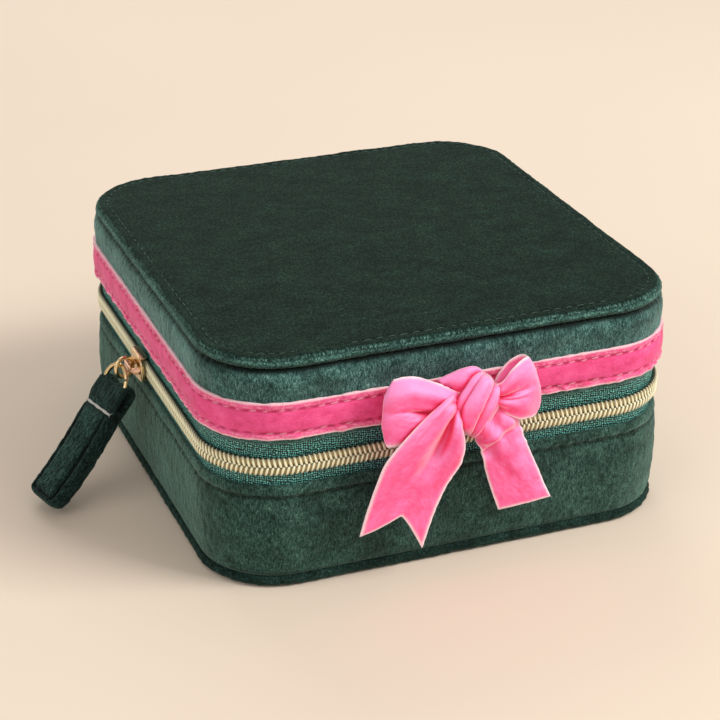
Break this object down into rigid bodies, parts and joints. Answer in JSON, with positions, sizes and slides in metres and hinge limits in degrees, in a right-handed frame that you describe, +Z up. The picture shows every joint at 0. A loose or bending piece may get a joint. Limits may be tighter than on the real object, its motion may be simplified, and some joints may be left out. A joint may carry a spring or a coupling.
{
  "type": "travel jewelry case",
  "caption": "Square velvet travel jewelry case: zip round the sides, hinged lid with mirror, ribbon band with tied bow, lined compartments with ring rolls, velvet pull tab on the slider.",
  "frame": {"origin": "centre of the case's flat bottom face", "axes": "+Z up, -Y out of the front wall that carries the bow, -X out of the wall that carries the zip slider, +Y out of the hinged back wall; lid closed at rest"},
  "size_m": [0.1456, 0.1297, 0.0576],
  "materials": {
    "green_velvet": "short plush pile",
    "pink_ribbon": "velvet ribbon",
    "pink_thread": "sewn thread",
    "green_thread": "sewn thread",
    "white_thread": "sewn thread",
    "zip_tape": "woven",
    "gold_coil": "metallised coil",
    "gold_metal": "polished",
    "lining": "suede",
    "board": "raw greyboard",
    "foam": "soft foam",
    "mirror": "polished"
  },
  "bodies": {
    "base": {"base_floor_board": "board", "base_wall_board": "board", "base_velvet_wall": "green_velvet", "base_velvet_bottom": "green_velvet", "base_welt": "green_velvet", "base_rim_stitching": "green_thread", "base_zip_tape": "zip_tape", "base_zip_coil": "gold_coil", "base_zip_end_stops": "gold_metal", "base_lining_wall": "lining", "base_floor_pad": "lining", "divider_long": "lining", "divider_cross_left": "lining", "divider_cross_right": "lining", "ring_roll_1": "lining", "ring_roll_2": "lining", "ring_roll_3": "lining", "ring_roll_4": "lining", "ring_roll_5": "lining", "ring_roll_6": "lining", "hinge_strip_base": "green_velvet"},
    "lid": {"lid_top_board": "board", "lid_wall_board": "board", "lid_foam_pad": "foam", "lid_velvet_top": "green_velvet", "lid_velvet_wall": "green_velvet", "lid_welt": "green_velvet", "lid_top_stitching": "green_thread", "ribbon_band": "pink_ribbon", "ribbon_stitching_upper": "pink_thread", "ribbon_stitching_lower": "pink_thread", "lid_zip_tape": "zip_tape", "lid_zip_coil": "gold_coil", "lid_zip_end_stops": "gold_metal", "lid_lining_wall": "lining", "lid_lining_panel": "lining", "mirror_frame": "lining", "mirror_glass": "mirror", "hinge_strip_lid": "green_velvet", "bow_loop_left": "pink_ribbon", "bow_loop_right": "pink_ribbon", "bow_loop_back": "pink_ribbon", "bow_knot": "pink_ribbon", "bow_tail_left": "pink_ribbon", "bow_tail_right": "pink_ribbon"},
    "slider": {"slider_body": "gold_metal", "slider_bridge": "gold_metal"},
    "pull_link": {"pull_link": "gold_metal"},
    "pull_ring": {"pull_ring": "gold_metal"},
    "pull_tab": {"pull_tab_velvet": "green_velvet", "pull_tab_core": "foam", "pull_tab_bar_tack": "white_thread"}
  },
  "joints": [
    {"name": "lid_hinge", "type": "hinge", "parent": "base", "child": "lid", "pos_m": [0, 0.0604, 0.031], "axis": [-1, 0, 0], "range_deg": [0, 110]},
    {"name": "slider_travel", "type": "slide", "parent": "base", "child": "slider", "axis": [0, -1, 0], "range_m": [-0.032, 0.034]},
    {"name": "link_swing", "type": "hinge", "parent": "slider", "child": "pull_link", "pos_m": [-0.06005, 0.002, 0.031], "axis": [0, 0, 1], "range_deg": [-40, 10]},
    {"name": "ring_swing", "type": "hinge", "parent": "pull_link", "child": "pull_ring", "pos_m": [-0.06322, 0.00115, 0.03217], "axis": [0.2588, -0.9659, 0], "range_deg": [-25, 12]},
    {"name": "tab_swing", "type": "hinge", "parent": "pull_ring", "child": "pull_tab", "pos_m": [-0.06698, 0.00014, 0.02383], "axis": [0.2588, -0.9659, 0], "range_deg": [-50, 26]}
  ]
}
